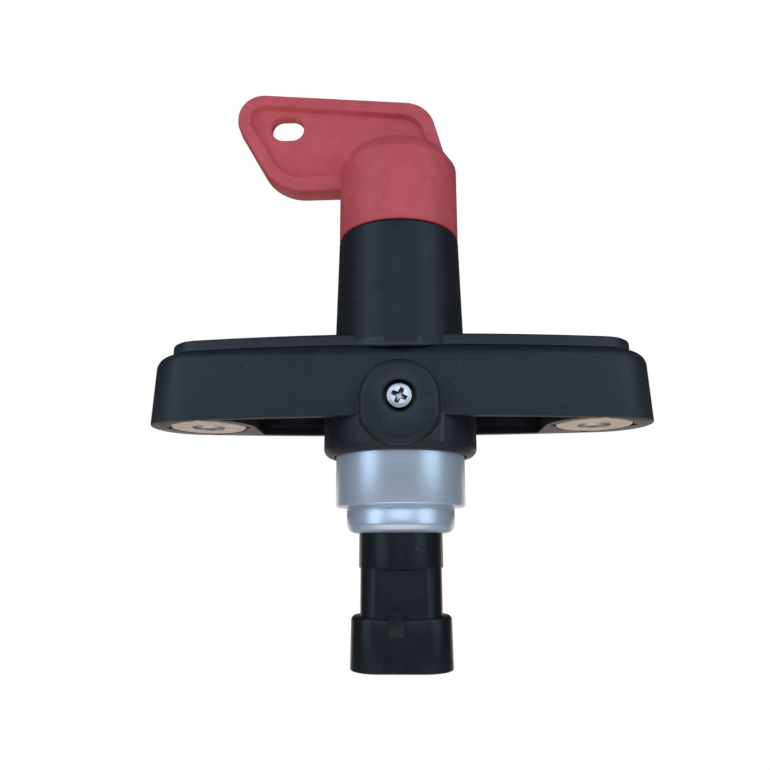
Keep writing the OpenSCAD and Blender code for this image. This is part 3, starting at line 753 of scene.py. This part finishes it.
def overlay(nodes, links, mask, source, color):
    """Lay a colour over another where the mask is white."""
    mix = nodes.new("ShaderNodeMix")
    mix.data_type = "RGBA"
    links.new(mask, mix.inputs["Factor"])
    links.new(source, mix.inputs["A"])
    mix.inputs["B"].default_value = (*color, 1)
    return mix.outputs["Result"]


def speckle(nodes, links, source, color):
    """Lay small specks of a colour over a base colour."""
    dots = object_noise(nodes, links, 1500, 2)
    mask = ramp(nodes, links, dots.outputs["Fac"], [(0.73, BLACK), (0.76, WHITE)])
    return overlay(nodes, links, mask, source, color)


def worn_and_highlit_edges(nodes, links, source, color):
    """Lighten sharp edges: rubbed wear, and a painted highlight along edge roundings."""
    shape = nodes.new("ShaderNodeNewGeometry")
    mask = ramp(nodes, links, shape.outputs["Pointiness"], [(0.515, BLACK), (0.57, WHITE)])
    return overlay(nodes, links, mask, source, color)


def painted_corner_shade(nodes, links, source, color):
    """Painted shade: darken the colour in corners and recesses, where the ambient occlusion node finds
    nearby surfaces.
    """
    hollow = nodes.new("ShaderNodeAmbientOcclusion")
    hollow.inputs["Distance"].default_value = 1.2 * MM
    mask = ramp(nodes, links, hollow.outputs["AO"], [(0.45, WHITE), (0.85, BLACK)])
    return overlay(nodes, links, mask, source, color)


def uneven_gloss(nodes, links, shader, source, low, high):
    """Let a pattern vary the roughness between two values."""
    links.new(spread(nodes, links, source, low, high), shader.inputs["Roughness"])


def moulded(name, dark, light, roughness, grain=0.00003, gloss=0.35, specks=None, wear_and_highlight=None):
    """Moulded plastic: soft mottling, fine grain, specks, lighter edges (rubbed wear with a painted edge
    highlight) and slightly uneven gloss.
    """
    material, nodes, links, shader = new_material(name, dark, roughness)
    cloud = object_noise(nodes, links, 240, 8)
    color = ramp(nodes, links, cloud.outputs["Fac"], [(0.3, dark), (0.7, light)])
    if specks:
        color = speckle(nodes, links, color, specks)
    if wear_and_highlight:
        # Lighter edges: rubbed wear, and a painted highlight along sharp edges.
        color = worn_and_highlit_edges(nodes, links, color, wear_and_highlight)
    links.new(color, shader.inputs["Base Color"])
    fine = object_noise(nodes, links, 2600, 3)
    uneven_gloss(nodes, links, shader, fine.outputs["Fac"], roughness - 0.06, roughness + 0.08)
    bump(nodes, links, shader, fine.outputs["Fac"], grain)
    shader.inputs["Specular IOR Level"].default_value = gloss
    return material


def turned_metal(name, dark, light, roughness):
    """Satin turned metal, partly non-metallic: rings round Z, with uneven gloss along them."""
    material, nodes, links, shader = new_material(name, light, roughness, 0.6)
    rings = object_noise(nodes, links, 60, 4, (0.02, 0.02, 90))
    color = ramp(nodes, links, rings.outputs["Fac"], [(0.3, dark), (0.7, light)])
    links.new(color, shader.inputs["Base Color"])
    uneven_gloss(nodes, links, shader, rings.outputs["Fac"], roughness - 0.05, roughness + 0.07)
    bump(nodes, links, shader, rings.outputs["Fac"], 0.00002)
    shader.inputs["Anisotropic"].default_value = 0.6
    return material


def plain_metal(name, dark, light, roughness, corner_shade_color=None):
    """Worked metal with faint patches, fine grain and, if a shade colour is given, painted shade in its
    corners and recesses.
    """
    material, nodes, links, shader = new_material(name, light, roughness, 1.0)
    cloud = object_noise(nodes, links, 300, 4)
    color = ramp(nodes, links, cloud.outputs["Fac"], [(0.3, dark), (0.7, light)])
    # Painted shade: the given colour darkens corners and recesses.
    if corner_shade_color:
        color = painted_corner_shade(nodes, links, color, corner_shade_color)
    links.new(color, shader.inputs["Base Color"])
    fine = object_noise(nodes, links, 3000, 2)
    uneven_gloss(nodes, links, shader, fine.outputs["Fac"], roughness - 0.05, roughness + 0.1)
    bump(nodes, links, shader, fine.outputs["Fac"], 0.00001)
    return material


SPECKS = (0.09, 0.10, 0.12)
black_housing = moulded(
    "black_housing_plastic",
    (0.006, 0.009, 0.014),
    (0.011, 0.016, 0.023),
    0.46,
    grain=0.00004,
    gloss=0.4,
    specks=SPECKS,
    # Edge colour: rubbed wear, partly a painted highlight.
    wear_and_highlight=(0.035, 0.042, 0.052),
)
black_cover = moulded(
    "black_cover_plastic",
    (0.005, 0.008, 0.012),
    (0.010, 0.013, 0.019),
    0.44,
    grain=0.00004,
    gloss=0.38,
    specks=SPECKS,
    # Edge colour: rubbed wear, partly a painted highlight.
    wear_and_highlight=(0.03, 0.036, 0.045),
)
black_plug = moulded(
    "black_connector_plastic",
    (0.006, 0.008, 0.013),
    (0.010, 0.013, 0.019),
    0.34,
    grain=0.00001,
    gloss=0.3,
    specks=SPECKS,
)
red = moulded(
    "red_key_plastic",
    (0.62, 0.082, 0.098),
    (0.72, 0.105, 0.122),
    0.5,
    grain=0.00002,
    gloss=0.4,
    specks=(0.80, 0.30, 0.31),
)
aluminium = turned_metal("turned_aluminium", (0.62, 0.70, 0.82), (0.78, 0.87, 0.98), 0.28)
face_metal = plain_metal("terminal_metal", (0.56, 0.50, 0.46), (0.74, 0.68, 0.63), 0.4)
# The zinc's last colour, (0.10, 0.09, 0.08), is painted shade in its corners and recesses.
zinc = plain_metal("zinc_steel", (0.70, 0.69, 0.74), (0.86, 0.85, 0.90), 0.36, (0.10, 0.09, 0.08))
copper = plain_metal("bare_copper", (0.62, 0.26, 0.14), (0.80, 0.40, 0.25), 0.3)
silver = plain_metal("contact_silver", (0.72, 0.70, 0.66), (0.88, 0.87, 0.84), 0.25)
spring_wire = plain_metal("spring_wire", (0.40, 0.41, 0.43), (0.58, 0.59, 0.61), 0.25)
pin_metal = plain_metal("tinned_pin", (0.62, 0.50, 0.26), (0.82, 0.70, 0.42), 0.25)
nylon = moulded("natural_nylon", (0.66, 0.63, 0.55), (0.76, 0.73, 0.65), 0.45)
dark_nylon = moulded("dark_nylon", (0.035, 0.038, 0.045), (0.055, 0.06, 0.07), 0.5)
rubber = moulded("black_rubber", (0.010, 0.010, 0.010), (0.020, 0.020, 0.020), 0.7)
brown_rubber = moulded("brown_rubber", (0.25, 0.09, 0.03), (0.35, 0.13, 0.05), 0.6)

INNER = {
    copper: ("left_busbar", "right_busbar", "contact_bridge", "aux_contact_disc"),
    silver: ("left_contact_tip", "right_contact_tip", "left_bridge_tip", "right_bridge_tip"),
    spring_wire: ("pressure_spring", "block_ring"),
    zinc: ("cam_pin", "spring_seat"),
    nylon: ("spindle", "thrust_washer", "aux_plunger"),
    dark_nylon: ("contact_carrier", "aux_block"),
    rubber: ("spindle_seal", "can_seal", "cover_gasket"),
    brown_rubber: ("connector_seal",),
    pin_metal: ("left_pin", "right_pin"),
}

# ---- The pieces ----

base_housing(black_housing)
cover(black_cover)
key(red)
can(aluminium)
terminal("left_terminal_skin", -TERMINAL_X, "left_terminal", face_metal)
terminal("right_terminal_skin", TERMINAL_X, "right_terminal", face_metal)
can_screw(zinc)
cover_screws(zinc)
connector(black_plug)
spring("return_spring_skin", "return_spring", spring_wire)
spring("aux_spring_skin", "aux_spring", spring_wire)
for material, names in INNER.items():
    for name in names:
        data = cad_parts[name].data
        if data.materials:
            for i in range(len(data.materials)):
                data.materials[i] = material
        else:
            data.materials.append(material)

# ---- Studio ----

FLOOR_HEIGHT = -0.32
COOL = (0.66, 0.82, 1.0)
WARM = (1.0, 0.86, 0.77)
WARMER = (1.0, 0.84, 0.72)


def area_light(name, at, aim, size, power, color):
    """A soft rectangular light, in metres, that the camera doesn't see."""
    data = bpy.data.lights.new(name, "AREA")
    data.shape = "RECTANGLE"
    data.size, data.size_y = size
    data.energy = power
    data.color = color
    light = bpy.data.objects.new(name, data)
    bpy.context.collection.objects.link(light)
    light.location = at
    light.rotation_euler = (Vector(aim) - Vector(at)).to_track_quat("-Z", "Y").to_euler()
    light.visible_camera = False


def around(azimuth, distance, height):
    """A place round the object in metres; azimuth 0 is straight in front, positive to the right."""
    a = math.radians(azimuth)
    return (distance * math.sin(a), -distance * math.cos(a), height)


def studio():
    """A white surround to the camera, a dim warm room to everything else, and cool soft lights."""
    world = bpy.data.worlds.new("studio")
    bpy.context.scene.world = world
    world.use_nodes = True
    nodes, links = world.node_tree.nodes, world.node_tree.links
    nodes.clear()
    seen = nodes.new("ShaderNodeBackground")
    seen.inputs["Color"].default_value = (1, 1, 1, 1)
    lit = nodes.new("ShaderNodeBackground")
    lit.inputs["Color"].default_value = (0.62, 0.54, 0.48, 1)
    lit.inputs["Strength"].default_value = 0.12
    path = nodes.new("ShaderNodeLightPath")
    mix = nodes.new("ShaderNodeMixShader")
    out = nodes.new("ShaderNodeOutputWorld")
    links.new(path.outputs["Is Camera Ray"], mix.inputs["Fac"])
    links.new(lit.outputs[0], mix.inputs[1])
    links.new(seen.outputs[0], mix.inputs[2])
    links.new(mix.outputs[0], out.inputs["Surface"])
    reach = 4000
    corners = [(-reach, -reach, 0), (reach, -reach, 0), (reach, reach, 0), (-reach, reach, 0)]
    ground = mesh_object("floor", corners, [[0, 1, 2, 3]])
    ground.location.z = FLOOR_HEIGHT
    pale, nodes, links, shader = new_material("pale_floor", (0.86, 0.82, 0.78), 0.9)
    glow = nodes.new("ShaderNodeEmission")
    path = nodes.new("ShaderNodeLightPath")
    mix = nodes.new("ShaderNodeMixShader")
    links.new(path.outputs["Is Camera Ray"], mix.inputs["Fac"])
    links.new(shader.outputs[0], mix.inputs[1])
    links.new(glow.outputs[0], mix.inputs[2])
    links.new(mix.outputs[0], nodes["Material Output"].inputs["Surface"])
    ground.data.materials.append(pale)
    bpy.context.scene.view_settings.view_transform = "Standard"
    middle = (0, 0, 0.02)
    area_light("left_panel", around(-54, 0.6, 0.25), middle, (0.36, 0.9), 2.0, COOL)
    area_light("right_panel", around(54, 0.6, 0.25), middle, (0.42, 0.9), 2.0, COOL)
    area_light("front_fill", around(0, 0.7, 0.22), middle, (0.62, 0.5), 1.5, COOL)
    area_light("back_card", around(180, 1.1, -0.16), (0, 0, 0), (1.8, 0.4), 3.0, WARM)
    area_light("below", (0.0, -0.10, -0.30), (0, 0, 0), (0.6, 0.5), 0.5, WARMER)


def camera():
    """Close in front, a little below the bar, looking up."""
    data = bpy.data.cameras.new("camera")
    data.sensor_width = 36
    data.lens = 33.62
    data.clip_start = 0.01
    data.clip_end = 20
    view = bpy.data.objects.new("camera", data)
    bpy.context.collection.objects.link(view)
    view.location = Vector((1.1, -168.9, -28.0)) * MM
    pan, pitch, roll = math.radians(1.58), math.radians(12.72), math.radians(-0.17)
    view.matrix_world = (
        Matrix.Translation(view.location)
        @ Matrix.Rotation(pan, 4, "Z")
        @ Matrix.Rotation(math.pi / 2 + pitch, 4, "X")
        @ Matrix.Rotation(roll, 4, "Z")
    )
    bpy.context.scene.camera = view


studio()
camera()
